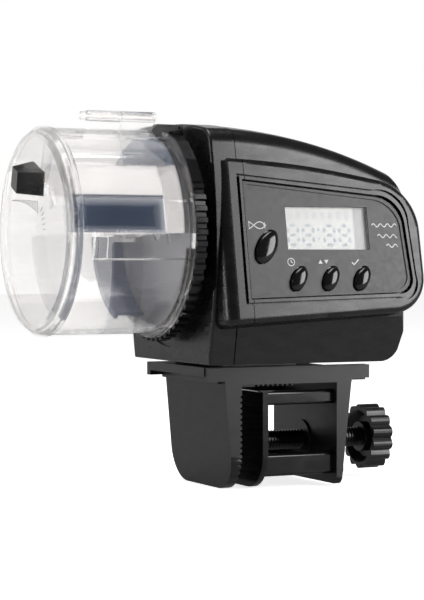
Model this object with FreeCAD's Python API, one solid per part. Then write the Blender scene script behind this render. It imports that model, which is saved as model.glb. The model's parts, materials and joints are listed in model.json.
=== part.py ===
import FreeCAD, Part
import math
import os

# Automatic fish feeder: a clear drum turned by a battery-powered housing that sits on a rim clamp.
# Everything is drawn in the drum frame: X runs along the drum axis from the drum's front face to the
# housing, Y points to the back, Z is up, and the drum axis is Y = 0, Z = 0. save() moves each piece so
# that the part's origin is the middle of the seat that rests on the tank's rim. Lengths are in mm.

V = FreeCAD.Vector

# ---- driving dimensions -------------------------------------------------------------------------
SEAT = V(59.0, 0.0, -45.5)        # rim seat, seen from the drum frame

# drum
TUBE_RI, TUBE_RO = 28.5, 30.0     # clear tube
TUBE_X0, TUBE_X1 = 2.8, 36.4
FLANGE_R, FLANGE_X0 = 31.2, 35.2  # collar at the tube's rear end
DOOR_TOP, DOOR_MID, DOOR_LOW = 26.0, 91.2, 105.5   # degrees from the top towards the user
DOOR_X0, DOOR_LOW_X0 = 3.1, 6.6
SLIT_DEG = 0.6                    # gap between door and tube, as an angle
SLIT = 0.3
OUTLET = (71.5, 89.5, 3.8, 28.0)  # angles and X range of the slot that lets the food out
TONGUE = (15.5, 9.6, 22.6)        # start angle and X range of the door's part under its hinge
HINGE_Y, HINGE_Z = -8.0, 33.2     # door hinge axis
KNUCKLE_R, PIN_R, PIN_GAP = 1.6, 0.6, 0.05
KNUCKLE_DOOR, KNUCKLE_TUBE = (12.8, 23.0), (23.2, 33.9)

# portion shutter
SHUTTER_RI, SHUTTER_RO = 27.0, 28.2
SHUTTER_X0, SHUTTER_X1 = 1.9, 28.3
SHUTTER_A0, SHUTTER_A1 = 50.0, 91.2
RIM_A1 = 150.0                    # end of the shutter's guide rim
SLOT_R, SLOT_HALF = 16.4, 1.1     # arc slot in the end cap
SLOT_A0, SLOT_A1 = 16.5, 66.0
STEM_A, STEM_HALF_DEG = 22.0, 4.0

# base ring
RING_X0, RING_X1, RING_R = 36.5, 39.8, 31.4
KNURL_R, KNURL_COUNT = 32.3, 60
KNURL_A0, KNURL_A1 = 64.0, 296.0
FLOOR_X0 = 38.2                   # the disc that closes the drum's rear end
SPINDLE_R, BUSH_R = 2.5, 5.0

# catch
CATCH_Y0, CATCH_NOSE_Y1, CATCH_Y1 = -12.4, -9.9, -4.4
CATCH_PIVOT = (38.4, 27.2)
CATCH_PIN_R = 0.6

# housing
FACE_X, SPLIT_X, END_X = 42.6, 50.5, 107.4
WALL = 2.0
FLOOR_Z = -38.4
TILT = 10.0                       # the panel leans back by this many degrees
PANEL_Y, PANEL_Z = -33.2, -3.0    # a point on the panel plane
ROOF_X, ROOF_Z = 44.0, -120.0     # the roof is an arc about this line across the body
FLANK_LOW, FLANK_HIGH = (30.6, -6.5), (27.7, 23.4)   # half width and height of the flank's ends
CROWN, ROOF_R, SHOULDER_R = 31.9, 124.0, 6.0

# gears: module, teeth, and the Y, Z of each axis
OUT_M, OUT_T = 0.6, 40
IDLER_SMALL_T = 12
IDLER_M, IDLER_T = 0.5, 36
MOTOR_T = 12
IDLER_YZ = (4.05, -15.11)
MOTOR_YZ = (-5.59, -22.35)
GEAR_SLACK = 0.10
MOTOR_SHAFT_R, PINION_BORE_R = 0.75, 0.80
AXLE_R = 1.0
PLATES = ((50.2, 51.4), (62.2, 63.6))              # X ranges of the two gearbox plates
PILLARS = ((-14.5, 5.5), (8.5, -27.5), (-14.8, -31.4))

# battery bay
CELL_R, CELL_X0, CELL_X1 = 7.1, 49.5, 98.9
CELLS = ((19.1, 8.4), (19.4, -6.8))
BAY = (52.5, 98.0, -15.4, 17.0)   # X and Z range of the battery cover

# control panel: heights are measured out from the panel plane
FRAME_SPLIT_X = 52.2              # where the raised frame is split between the two shells
GUTTER = 0.5                      # dark gap round the membrane
PANE_TOP, PANE_BACK = -0.7, -1.9
BOARD_TOP = -6.8
WINDOW = (65.0, 92.1, -2.1, 10.6)
RIM_HEIGHT = 0.35                 # the thin ridge that borders the membrane's gutter
OVAL_LEAN = 33.0                  # the oval buttons lean this far from upright
BUTTON_TOP = 1.1
BUTTONS = {"feed_button": ((58.0, -1.4), 5.4, 2.9), "mode_button": ((67.6, -10.7), 3.95, 2.25),
           "adjust_button": ((78.1, -10.7), 3.95, 2.25), "set_button": ((88.5, -10.7), 3.95, 2.25)}
SCREW_SPOTS = ((-21.0, 24.9), (21.0, 24.9), (-22.0, -33.0), (22.0, -33.0))
SCREW_SHANK_R, SCREW_HEAD_R = 0.85, 1.9

# clamp
BEAM_X0, BEAM_X1, BEAM_HALF = 44.5, 98.2, 22.0
BEAM_TOP, BEAM_LOW = -39.4, -44.2
JAW_BOTTOM = -75.5
JAW_FACE_X = 55.6
MOVING_X0, MOVING_X1 = 62.4, 64.2
PLATE_X0 = 87.1
SCREW_R, SCREW_PITCH, SCREW_Z = 3.0, 1.0, -63.2
KNOB_X0, KNOB_X1, KNOB_R, KNOB_LOBES = 107.0, 113.7, 10.0, 14
GUIDES = ((-19.9, -15.7, -51.0, -46.9), (14.0, 18.2, -51.0, -46.9),
          (-19.9, -15.7, -72.0, -65.5), (14.0, 18.2, -72.0, -65.5))   # Y and Z range of each bar
GUIDE_END = 90.6


# ---- helpers ------------------------------------------------------------------------------------
def save(name, shape):
    """Write one node, moved from the drum frame to the part's own frame."""
    moved = shape.copy()
    moved.translate(SEAT * -1.0)
    moved = moved.removeSplitter() if moved.ShapeType == "Solid" else moved
    moved.exportStep("parts/%s.step" % name)
    solids = moved.Solids
    state = "" if moved.isValid() and solids else "  INVALID"
    print("%-18s solids %2d  volume %9.1f%s" % (name, len(solids), moved.Volume, state))


def rod(radius, x0, x1, y=0.0, z=0.0):
    """A cylinder along X."""
    return Part.makeCylinder(radius, x1 - x0, V(x0, y, z), V(1, 0, 0))


def rod_y(radius, y0, y1, x, z):
    """A cylinder along Y."""
    return Part.makeCylinder(radius, y1 - y0, V(x, y0, z), V(0, 1, 0))


def box(x0, x1, y0, y1, z0, z1):
    return Part.makeBox(x1 - x0, y1 - y0, z1 - z0, V(x0, y0, z0))


def prism(points, direction):
    """A closed polygon of 3-D points, pushed along a vector."""
    face = Part.Face(Part.makePolygon([V(*p) for p in points] + [V(*points[0])]))
    return face.extrude(direction)


def prism_x(points, x0, x1):
    return prism([(x0, y, z) for y, z in points], V(x1 - x0, 0, 0))


def prism_y(points, y0, y1):
    return prism([(x, y0, z) for x, z in points], V(0, y1 - y0, 0))


def outline(parts, at, push):
    """Extrude a closed outline of lines (2 points) and arcs (3 points); at() makes 3-D points."""
    edges = []
    for part in parts:
        pts = [at(*p) for p in part]
        if len(pts) == 2:
            edges.append(Part.LineSegment(*pts).toShape())
        else:
            edges.append(Part.Arc(*pts).toShape())
    return Part.Face(Part.Wire(edges)).extrude(push)


def turned(points, start=0.0, sweep=360.0):
    """Turn a polygon of (x, radius) points about the drum axis, from an angle off the top."""
    face = Part.Face(Part.makePolygon([V(x, 0, r) for x, r in points + points[:1]]))
    face.rotate(V(0, 0, 0), V(1, 0, 0), start)
    return face.revolve(V(0, 0, 0), V(1, 0, 0), sweep)


def sector(r0, r1, a0, a1, x0, x1):
    """A piece of a ring between two angles, measured from the top towards the user."""
    return turned([(x0, r0), (x1, r0), (x1, r1), (x0, r1)], a0, a1 - a0)


def polar(radius, degrees):
    """Y and Z of a point at an angle from the top towards the user."""
    a = math.radians(degrees)
    return -radius * math.sin(a), radius * math.cos(a)


def fuse(shapes):
    whole = shapes[0]
    for other in shapes[1:]:
        whole = whole.fuse(other)
    return whole.removeSplitter()


def cut(shape, tools):
    for tool in tools:
        shape = shape.cut(tool)
    return shape


def group(shapes):
    return Part.makeCompound(shapes)


def soften(shape, radius, chosen):
    """Round the edges that chosen(edge) picks."""
    edges = [e for e in shape.Edges if chosen(e)]
    return shape.makeFillet(radius, edges)


# ---- drum ---------------------------------------------------------------------------------------
TUBE_PROFILE = [(TUBE_X0, TUBE_RI), (TUBE_X1, TUBE_RI), (TUBE_X1, FLANGE_R), (FLANGE_X0, FLANGE_R),
                (FLANGE_X0, TUBE_RO), (TUBE_X0, TUBE_RO)]
CUT_R0, CUT_R1 = TUBE_RI - 1.0, FLANGE_R + 1.0


def drum_shell():
    tube = turned(TUBE_PROFILE)
    window = fuse([sector(CUT_R0, CUT_R1, DOOR_TOP - SLIT_DEG, DOOR_MID + SLIT_DEG, 2.0, 37.0),
                   sector(CUT_R0, CUT_R1, DOOR_MID - 1, DOOR_LOW + SLIT_DEG, DOOR_LOW_X0 - SLIT, 37.0)])
    a0, x0, x1 = TONGUE
    window = window.fuse(sector(CUT_R0, CUT_R1, a0 - SLIT_DEG, DOOR_TOP, x0 - SLIT, x1 + SLIT))
    tube = tube.cut(window)
    x0, x1 = KNUCKLE_TUBE
    stand = box(x0, x1, HINGE_Y - 0.8, HINGE_Y + 0.8, 28.4, HINGE_Z)
    stand = stand.cut(rod(TUBE_RI + 0.4, x0 - 1, x1 + 1))
    knuckle = fuse([rod(KNUCKLE_R, x0, x1, HINGE_Y, HINGE_Z), stand])
    return fuse([tube, knuckle]).cut(rod(PIN_R + PIN_GAP, x0 - 1, x1 + 1, HINGE_Y, HINGE_Z))


def refill_door():
    profile = [(DOOR_X0 if x == TUBE_X0 else x, r) for x, r in TUBE_PROFILE]
    panel = turned(profile, DOOR_TOP, DOOR_LOW - DOOR_TOP)
    panel = panel.cut(sector(CUT_R0, CUT_R1, DOOR_MID, DOOR_LOW + 1, 2.0, DOOR_LOW_X0))
    a0, a1, x0, x1 = OUTLET
    panel = panel.cut(sector(CUT_R0, CUT_R1, a0, a1, x0, x1))
    a0, x0, x1 = TONGUE
    tongue = sector(TUBE_RI, TUBE_RO, a0, DOOR_TOP + 1, x0, x1)
    thumb_rib = sector(TUBE_RO - 0.5, TUBE_RO + 0.8, DOOR_MID + 1, DOOR_LOW - 0.5, 7.2, 10.0)
    x0, x1 = KNUCKLE_DOOR
    leaf = box(x0, x1 - 0.4, HINGE_Y - 1.3, HINGE_Y - 0.1, 28.4, HINGE_Z)
    leaf = leaf.cut(rod(TUBE_RI + 0.4, x0 - 1, x1 + 1))
    door = fuse([panel, tongue, thumb_rib, leaf, rod(KNUCKLE_R, x0, x1, HINGE_Y, HINGE_Z)])
    return door.cut(rod(PIN_R + PIN_GAP, x0 - 1, x1 + 1, HINGE_Y, HINGE_Z))


def hinge_pin():
    head = rod(1.2, 10.8, 12.5, HINGE_Y, HINGE_Z)
    return fuse([head, rod(PIN_R, 12.0, 33.4, HINGE_Y, HINGE_Z)])


def drum_end_cap():
    profile = [(-1.1, 0.0), (-1.1, 27.2), (-0.85, 28.2), (-0.45, 28.9), (0.0, 29.2), (1.5, 29.5),
               (1.5, 30.4), (2.7, 30.4), (2.7, TUBE_RI), (0.7, TUBE_RI), (0.4, 28.2), (0.4, 0.0)]
    slot = sector(SLOT_R - SLOT_HALF, SLOT_R + SLOT_HALF, SLOT_A0, SLOT_A1, -2, 1)
    return turned(profile).cut(slot)


def shutter_arm():
    """The clear arm that joins the knob to the shutter."""
    pad = sector(SLOT_R - SLOT_HALF - 1.2, SHUTTER_RO, STEM_A - 5.0, STEM_A + 7.0, 0.7, SHUTTER_X0)
    band = sector(SHUTTER_RI - 1.6, SHUTTER_RO, STEM_A - 5.0, SHUTTER_A1, 0.7, SHUTTER_X0)
    return fuse([pad, band])


def portion_shutter():
    plate = sector(SHUTTER_RI, SHUTTER_RO, SHUTTER_A0, SHUTTER_A1, SHUTTER_X0, SHUTTER_X1)
    rim = sector(SHUTTER_RI, SHUTTER_RO, SHUTTER_A1 - 1, RIM_A1, SHUTTER_X0, 3.1)
    end_wall = sector(22.5, SHUTTER_RO, SHUTTER_A0 + 8, SHUTTER_A1, SHUTTER_X0, 2.6)
    rib = sector(SHUTTER_RI - 0.8, SHUTTER_RI + 0.2, 70.0, 71.6, 2.4, SHUTTER_X1 - 1.2)
    return fuse([plate, rim, end_wall, rib])


def portion_knob():
    base = [(-1.3, -11.2, 16.5), (-1.3, -2.0, 20.2), (-1.3, -0.9, 13.5), (-1.3, -10.1, 9.8)]
    tip = [(-9.5, -11.2, 16.4), (-9.5, -6.9, 18.3), (-9.5, -5.5, 12.6), (-9.5, -10.0, 10.5)]
    wires = [Part.makePolygon([V(*p) for p in ring + ring[:1]]) for ring in (base, tip)]
    grip = Part.makeLoft(wires, True, True)
    stem = sector(SLOT_R - SLOT_HALF + 0.15, SLOT_R + SLOT_HALF - 0.15,
                  STEM_A - STEM_HALF_DEG, STEM_A + STEM_HALF_DEG, -1.6, 0.7)
    return fuse([grip, stem])


def knurled_outline():
    """Base ring's outline: flat facets over the top, coarse teeth round the rest."""
    step = 360.0 / KNURL_COUNT
    points = []
    for facet in (-64.0, -50.0, -36.0, -14.0, 14.0, 36.0, 50.0, 63.9):
        points.append(polar(32.0, facet))
    count = int(round((KNURL_A1 - KNURL_A0) / step))
    for tooth in range(count):
        start = KNURL_A0 + tooth * step
        points += [polar(RING_R, start + 0.10 * step), polar(KNURL_R, start + 0.22 * step),
                   polar(KNURL_R, start + 0.62 * step), polar(RING_R, start + 0.74 * step)]
    return points


def drum_base_ring():
    ring = prism_x(knurled_outline(), RING_X0, RING_X1).cut(rod(28.0, RING_X0 - 1, FLOOR_X0))
    spigot = sector(27.2, 28.3, 100, 260, 35.0, RING_X1 - 0.5)
    hub = rod(12.0, RING_X1 - 0.5, 41.6)
    lug_x = (37.0, RING_X1)
    lugs = [box(*lug_x, -14.2, -12.55, 25.2, 29.0), box(*lug_x, -4.25, -2.6, 25.2, 30.6)]
    notch = box(RING_X0 - 0.5, RING_X1 + 1, -12.6, -4.2, 25.0, 34)
    body = fuse([ring.cut(notch), spigot, hub] + lugs)
    pin_hole = rod_y(CATCH_PIN_R + 0.02, -15, -2, *CATCH_PIVOT)
    return cut(body, [pin_hole, rod(SPINDLE_R, 37, 43)])


def chamber_divider():
    disc = rod(TUBE_RI, 33.0, 34.2)
    disc = disc.cut(box(32, 35, -35, 35, -35, -0.6))
    return disc.cut(sector(TUBE_RI - 0.35, 30, DOOR_TOP - 2, 95, 32, 35))


def dosing_wall():
    wall = sector(26.1, 27.2, 201.4, 267.5, 28.8, 38.2)
    lip = sector(26.1, 28.3, 201.4, 267.5, 28.8, 29.8)
    return fuse([wall, lip])


def drum_catch():
    nose = [(31.0, 29.2), (32.9, 31.1), (41.0, 31.1), (41.0, 25.8), (36.8, 25.8), (36.8, 28.0),
            (34.95, 28.0), (34.95, 26.4), (33.2, 26.4)]
    arm = [(34.6, 31.1), (41.0, 31.1), (41.0, 25.8), (36.8, 25.8), (36.8, 30.0), (34.6, 30.0)]
    body = fuse([prism_y(nose, CATCH_Y0, CATCH_NOSE_Y1), prism_y(arm, CATCH_NOSE_Y1 - 0.1, CATCH_Y1)])
    tools = [box(33.6, 40.2, CATCH_Y0 - 0.1, CATCH_Y0 + 0.5, 29.9, 30.6), rod(TUBE_RO + 0.2, 30, 35.05),
             rod(FLANGE_R + 0.2, 34.45, RING_X0 - 0.05),
             rod_y(CATCH_PIN_R + 0.05, -13, -4, *CATCH_PIVOT)]
    return cut(body, tools)


def catch_pin():
    return rod_y(CATCH_PIN_R, -14.2, -2.6, *CATCH_PIVOT)


# ---- drive --------------------------------------------------------------------------------------

def gear(module, teeth, x0, x1, centre, phase=0.0, bore=0.0):
    """An involute spur gear along X. phase turns it, in teeth."""
    pitch_r = module * teeth / 2.0
    base_r = pitch_r * math.cos(math.radians(20.0))
    tip_r, root_r = pitch_r + 0.95 * module, pitch_r - 1.2 * module
    half = math.pi / (2 * teeth) - GEAR_SLACK / (2 * pitch_r)

    def roll(radius):
        a = math.acos(min(1.0, base_r / radius))
        return math.tan(a) - a

    flank = []
    low_r = max(base_r, root_r + 0.05)
    for i in range(4):
        radius = low_r + (tip_r - low_r) * i / 3.0
        flank.append((radius, half + roll(pitch_r) - roll(radius)))
    if low_r > root_r + 0.06:
        flank.insert(0, (root_r, flank[0][1]))
    points = []
    for tooth in range(teeth):
        middle = 2 * math.pi * (tooth + phase) / teeth
        side = [(r, middle - a) for r, a in flank] + [(r, middle + a) for r, a in reversed(flank)]
        points += [(centre[0] + r * math.cos(a), centre[1] + r * math.sin(a)) for r, a in side]
    wheel = prism_x(points, x0, x1)
    return wheel.cut(rod(bore, x0 - 1, x1 + 1, *centre)) if bore else wheel


def mesh_phase(teeth, own, other, other_teeth, other_phase):
    """The phase in teeth that puts a gap of this wheel opposite a tooth of the other."""
    to_other = math.atan2(other[1] - own[1], other[0] - own[0])
    back = to_other + math.pi
    other_here = (back * other_teeth / (2 * math.pi) - other_phase) % 1.0
    here = to_other * teeth / (2 * math.pi)
    return here - 0.5 + other_here


def drive_train():
    spindle_gear = gear(OUT_M, OUT_T, 56.0, 59.0, (0, 0))
    cam = rod(5.2, 59.0, 61.5).cut(box(58.9, 61.6, 3.6, 8, -8, 8))
    spindle_gear = cut(fuse([spindle_gear, cam]), [rod(SPINDLE_R, 50, 65)])
    small_phase = mesh_phase(IDLER_SMALL_T, IDLER_YZ, (0, 0), OUT_T, 0.0)
    small = gear(OUT_M, IDLER_SMALL_T, 55.5, 59.5, IDLER_YZ, small_phase)
    large = gear(IDLER_M, IDLER_T, 52.5, 55.5, IDLER_YZ)
    idler = fuse([small, large]).cut(rod(AXLE_R + 0.05, 50, 62, *IDLER_YZ))
    motor_phase = mesh_phase(MOTOR_T, MOTOR_YZ, IDLER_YZ, IDLER_T, 0.0)
    pinion = gear(IDLER_M, MOTOR_T, 52.3, 56.5, MOTOR_YZ, motor_phase, PINION_BORE_R)
    return spindle_gear, idler, pinion


def drive_spindle():
    return rod(SPINDLE_R, 38.6, 64.0)


def spindle_bush():
    sleeve = fuse([rod(BUSH_R, FACE_X, 49.0), rod(BUSH_R + 2.0, 46.4, 48.0)])
    return sleeve.cut(rod(SPINDLE_R + 0.05, FACE_X - 1, 50))


def gear_motor():
    can = rod(10.0, 60.5, 84.0, *MOTOR_YZ)
    can = can.common(box(60, 85, MOTOR_YZ[0] - 10, MOTOR_YZ[0] + 10, MOTOR_YZ[1] - 7.7, MOTOR_YZ[1] + 7.7))
    boss = rod(3.0, 59.6, 60.6, *MOTOR_YZ)
    shaft = rod(MOTOR_SHAFT_R, 51.9, 60.0, *MOTOR_YZ)
    tail = rod(5.0, 83.9, 85.5, *MOTOR_YZ)
    return fuse([can, boss, shaft, tail])


def gearbox_plates():
    """Two plates on pillars that hold the train between them."""
    points = [(-17, 9), (8.5, 9), (12, 2), (12, -26), (4, -34), (-17, -34)]
    front, back = [prism_x(points, x0, x1) for x0, x1 in PLATES]
    pillars = [rod(2.0, PLATES[0][1], PLATES[1][0], y, z) for y, z in PILLARS]
    frame = fuse([front, back] + pillars)
    holes = [rod(SPINDLE_R + 0.08, 49, 65), rod(AXLE_R, 49, 65, *IDLER_YZ), rod(1.6, 49, 52, *MOTOR_YZ),
             box(61.9, 64, MOTOR_YZ[0] - 10.2, MOTOR_YZ[0] + 10.2, MOTOR_YZ[1] - 7.9, MOTOR_YZ[1] + 7.9),
             box(61.9, 64, 3.0, 12, -9.0, 8.0)]
    return cut(frame, holes)


def idler_axle():
    return rod(AXLE_R, PLATES[0][0], PLATES[1][1], *IDLER_YZ)


def position_switch():
    body = box(64.0, 70.0, 3.4, 9.8, -8.6, 3.0)
    plunger = box(60.2, 64.2, 5.6, 6.6, -1.6, 1.6)
    return fuse([body, plunger])


# ---- housing ------------------------------------------------------------------------------------
def shoulder(d):
    """Start, middle and end of the arc between flank and roof, and the same moved in by d."""
    radius, low = SHOULDER_R - d, V(FLANK_LOW[0] - d, FLANK_LOW[1], 0)
    up = V(FLANK_HIGH[0] - FLANK_LOW[0], FLANK_HIGH[1] - FLANK_LOW[1], 0).normalize()
    out = V(up.y, -up.x, 0)
    middle = V(0, CROWN - d - ROOF_R, 0)
    start = low - out * radius - middle
    along = start.dot(up)
    rise = -along + math.sqrt(along ** 2 - start.dot(start) + (ROOF_R - radius) ** 2)
    axis = start + up * rise
    begin, end = axis + out * radius, axis * (ROOF_R / (ROOF_R - radius))
    halfway = axis + ((begin - axis) + (end - axis)).normalize() * radius
    return [((p + middle).x, (p + middle).y) for p in (begin, halfway, end)]


def section_parts(d, low):
    """Outline of the body across X, moved in by d, down to the height low."""
    foot = 26.8 - d - (FLOOR_Z - low) * 0.16 if low < FLOOR_Z else 26.8 - d
    arc = shoulder(d)
    waist = (FLANK_LOW[0] - d, FLANK_LOW[1])
    half = [[(0, low), (foot, low)], [(foot, low), waist, arc[0]], arc]
    roof = [[arc[2], (0, CROWN - d), (-arc[2][0], arc[2][1])]]
    other = [[(-y, z) for y, z in reversed(part)] for part in reversed(half)]
    return half + roof + other


def collar_block(inset, x0, x1):
    """The straight front part of the body between two X planes."""
    parts = section_parts(inset, FLOOR_Z + inset)
    return outline(parts, lambda y, z: V(x0, y, z), V(x1 - x0, 0, 0))


def main_block(inset, x0, x1=200.0):
    """The rest of the body: the same outline swung down an arc, with a round end."""
    d = inset
    edges = []
    for part in section_parts(d, FLOOR_Z - 22.0):
        pts = [V(ROOF_X, y, z) for y, z in part]
        edges.append((Part.LineSegment(*pts) if len(pts) == 2 else Part.Arc(*pts)).toShape())
    swung = Part.Face(Part.Wire(edges)).revolve(V(ROOF_X, 0, ROOF_Z), V(0, 1, 0), 40.0)
    low, end = FLOOR_Z + d, END_X - d
    side = [[(x0, low), (99.2 - d, low)],
            [(99.2 - d, low), (102.6 - d, low + 1.1), (104.6 - d, low + 3.6)],
            [(104.6 - d, low + 3.6), (end, -23.7 + d * 0.3)], [(end, -23.7 + d * 0.3), (end, 3.0)],
            [(end, 3.0), (105.6 - d, 12.5 - d), (100.4 - d, 20.2 - d)],
            [(100.4 - d, 20.2 - d), (96.0, 45.0)], [(96.0, 45.0), (x0, 45.0)], [(x0, 45.0), (x0, low)]]
    silhouette = outline(side, lambda x, z: V(x, -40, z), V(0, 80, 0))
    plan_r, y = 7.0, 31.5 - d
    k = plan_r * (1 - math.sqrt(0.5))
    plan = [[(x0, -y), (end - plan_r, -y)], [(end - plan_r, -y), (end - k, -y + k), (end, -y + plan_r)],
            [(end, -y + plan_r), (end, y - plan_r)],
            [(end, y - plan_r), (end - k, y - k), (end - plan_r, y)],
            [(end - plan_r, y), (x0, y)], [(x0, y), (x0, -y)]]
    footprint = outline(plan, lambda x, yy: V(x, yy, -60), V(0, 0, 120))
    flanks = [(-31.2 + d, 60), (-31.2 + d, -8), (-29.7 + d, -25), (-27.0 + d, FLOOR_Z - 0.1)]
    flanks += [(-y, z) for y, z in reversed(flanks)]
    block = swung.common(silhouette).common(footprint).common(prism_x(flanks, x0, 120.0))
    return block if x1 > END_X else block.common(box(x0, x1, -40, 40, -60, 60))


def on_panel(shape):
    """Move a shape drawn on the XY plane to the leaning panel: its Y runs up, its Z points out."""
    t = math.radians(TILT)
    s, c = math.sin(t), math.cos(t)
    matrix = FreeCAD.Matrix(1, 0, 0, 0, 0, s, -c, PANEL_Y, 0, c, s, PANEL_Z, 0, 0, 0, 1)
    return shape.transformGeometry(matrix)


def flat(parts, low, high):
    """Extrude a panel outline between two heights over the panel plane."""
    return outline(parts, lambda x, v: V(x, v, low), V(0, 0, high - low))


def frame_outline(d=0.0):
    """Outer edge of the raised frame, moved in by d."""
    return [[(44.0 + d, 25.0 - d), (74.0, 22.7 - d), (97.0, 19.0 - d)],
            [(97.0, 19.0 - d), (106.6 - d, 13.2 - d), (109.9 - d, 3.6)],
            [(109.9 - d, 3.6), (110.1 - d, -9.3)],
            [(110.1 - d, -9.3), (107.2 - d, -17.2 + d), (99.4, -20.9 + d)],
            [(99.4, -20.9 + d), (44.0 + d, -24.1 + d)], [(44.0 + d, -24.1 + d), (44.0 + d, 25.0 - d)]]


def pane_outline(d=0.0):
    """Edge of the membrane, moved in by d."""
    return [[(51.9 + d, 17.7 - d), (94.4, 13.6 - d)],
            [(94.4, 13.6 - d), (100.8 - d, 10.9 - d), (103.5 - d, 5.6)],
            [(103.5 - d, 5.6), (104.7 - d, -10.2)],
            [(104.7 - d, -10.2), (103.4 - d, -13.6 + d), (100.0, -14.9 + d)],
            [(100.0, -14.9 + d), (51.9 + d, -16.3 + d)], [(51.9 + d, -16.3 + d), (51.9 + d, 17.7 - d)]]


def raised_frame():
    """The D-shaped frame that stands out of the near side, before it is split in two."""
    block = flat(frame_outline(), -12.0, 0.0)
    block = soften(block, 3.6,
                   lambda e: abs(e.CenterOfMass.z) < 0.01 and abs(e.CenterOfMass.x - 44.0) < 0.01)
    block = soften(block, 2.0, lambda e: abs(e.CenterOfMass.z) < 0.01 and e.BoundBox.ZLength < 0.01
                   and e.CenterOfMass.x > 50.0)
    block = block.cut(flat(pane_outline(-2.1), -0.8, 1.0).cut(flat(pane_outline(-1.3), -1.0, 1.2)))
    ridge = flat(pane_outline(-1.35), -0.9, RIM_HEIGHT).cut(flat(pane_outline(-GUTTER), -1.0, 1.0))
    block = block.fuse(ridge)
    block = block.cut(flat(pane_outline(-GUTTER), -13.0, 1.0))
    shelf = flat(pane_outline(-GUTTER - 0.5), -3.2, -2.2).cut(flat(pane_outline(2.0), -4.0, -2.0))
    shelf = cut(shelf, [ellipse(a + 1.0, b + 1.0, at, -4.0, -2.0) for at, a, b in BUTTONS.values()])
    return on_panel(fuse([block, shelf]))


def frame_parts():
    whole = cut(raised_frame(), [collar_block(0.0, FACE_X, SPLIT_X + 0.2), main_block(0.0, SPLIT_X)])
    rim = on_panel(flat(frame_outline(2.4), -13.0, -2.3)).cut(on_panel(flat(pane_outline(-GUTTER), -14, 1)))
    whole = whole.cut(rim)
    bar = whole.common(box(40, FRAME_SPLIT_X - 0.1, -50, 0, -40, 40))
    bezel = whole.common(box(FRAME_SPLIT_X + 0.1, 120, -50, 0, -40, 40))
    return biggest(bar), biggest(bezel)


def biggest(shape):
    return max(shape.Solids, key=lambda s: s.Volume)


def panel_hole(x0):
    """The opening in the near wall behind the panel."""
    return on_panel(flat(pane_outline(1.2), -14.0, 2.0)).common(box(x0, 120, -50, -10, -40, 40))


def front_housing(bar):
    shell = collar_block(0.0, FACE_X, SPLIT_X - 0.12)
    shell = soften(shell, 0.8, lambda e: abs(e.CenterOfMass.x - FACE_X) < 0.01)
    shell = shell.cut(collar_block(WALL, FACE_X + 2.4, SPLIT_X))
    lip = collar_block(WALL + 0.05, SPLIT_X - 3.0, SPLIT_X + 1.6)
    lip = lip.cut(collar_block(WALL + 1.0, SPLIT_X - 4.0, SPLIT_X + 3.0))
    lip = lip.cut(box(47, 53, -31, -24, -24, 21)).cut(box(47, 53, 24, 31, -17, 18))
    lip = lip.cut(main_block(-1.0, SPLIT_X).cut(main_block(WALL + 0.15, SPLIT_X - 1)))
    dish = rod(34.2, FACE_X - 1, FACE_X + 0.7).cut(rod(11.0, FACE_X - 2, FACE_X + 1))
    pocket = on_panel(flat(pane_outline(-GUTTER), -9.0, 1.0))
    screws = [rod(2.2, FACE_X + 2.3, SPLIT_X + 1.9, y, z).cut(rod(SCREW_SHANK_R, FACE_X + 3.2, 60, y, z))
              for y, z in SCREW_SPOTS]
    body = fuse([shell.cut(dish).cut(pocket), lip, bar] + screws)
    return biggest(body.cut(rod(BUSH_R, FACE_X - 1, FACE_X + 4)))


def main_housing():
    shell = main_block(0.0, SPLIT_X + 0.12).cut(main_block(WALL, SPLIT_X - 1))
    x0, x1, z0, z1 = BAY
    bay = box(x0 - 0.2, x1 + 0.2, 20, 40, z0 - 0.2, z1 + 0.2)
    seat = on_panel(flat(pane_outline(-GUTTER), -2.2, 2.0)).common(box(SPLIT_X, 120, -50, -10, -40, 40))
    shell = cut(shell, [panel_hole(SPLIT_X), seat, bay])
    return biggest(fuse([shell] + screw_bosses()))


def screw_bosses():
    """Posts inside the rear shell that take the four screws, each tied to the nearest wall."""
    inner = main_block(WALL - 0.1, SPLIT_X + 0.3)
    posts = []
    for y, z in SCREW_SPOTS:
        side = 1 if y > 0 else -1
        rib = box(52.6, 54.1, min(y, y + 8 * side), max(y, y + 8 * side), z - 0.7, z + 0.7)
        post = fuse([rod(2.6, 52.6, 54.1, y, z), rib.common(inner)])
        posts.append(post.cut(rod(SCREW_SHANK_R + 0.1, 50, 56, y, z)))
    return posts


def slide_shoe():
    """The guide under the housing: a spacer, a neck and the foot that runs in the clamp's channel."""
    x1 = 76.0
    spacer = box(52.0, x1, -17.0, 17.0, BEAM_TOP + 0.05, FLOOR_Z)
    neck = box(58.0, x1, -6.8, 6.8, -41.2, BEAM_TOP + 0.1)
    foot = box(58.0, x1, -10.6, 10.6, -42.6, -41.1)
    return fuse([spacer, neck, foot])


def battery_cover():
    x0, x1, z0, z1 = BAY
    skin = main_block(0.0, x0, x1).cut(main_block(1.8, x0 - 1, x1 + 1))
    lid = skin.common(box(x0, x1, 20, 40, z0, z1))
    shallow = main_block(-1.0, x0, x1).cut(main_block(0.5, x0 - 1, x1 + 1))
    grips = [box(x0 + 6 + 2 * i, x0 + 7 + 2 * i, 20, 40, -4, 6).common(shallow) for i in range(4)]
    return biggest(cut(lid, grips))


def battery_cells():
    cells = []
    for i, (y, z) in enumerate(CELLS):
        can = rod(CELL_R, CELL_X0, CELL_X1, y, z)
        nub = rod(2.7, CELL_X1, CELL_X1 + 1.0, y, z) if i == 0 else rod(2.7, CELL_X0 - 0.9, CELL_X0, y, z)
        cells.append(can.fuse(nub))
    return group(cells)


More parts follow.
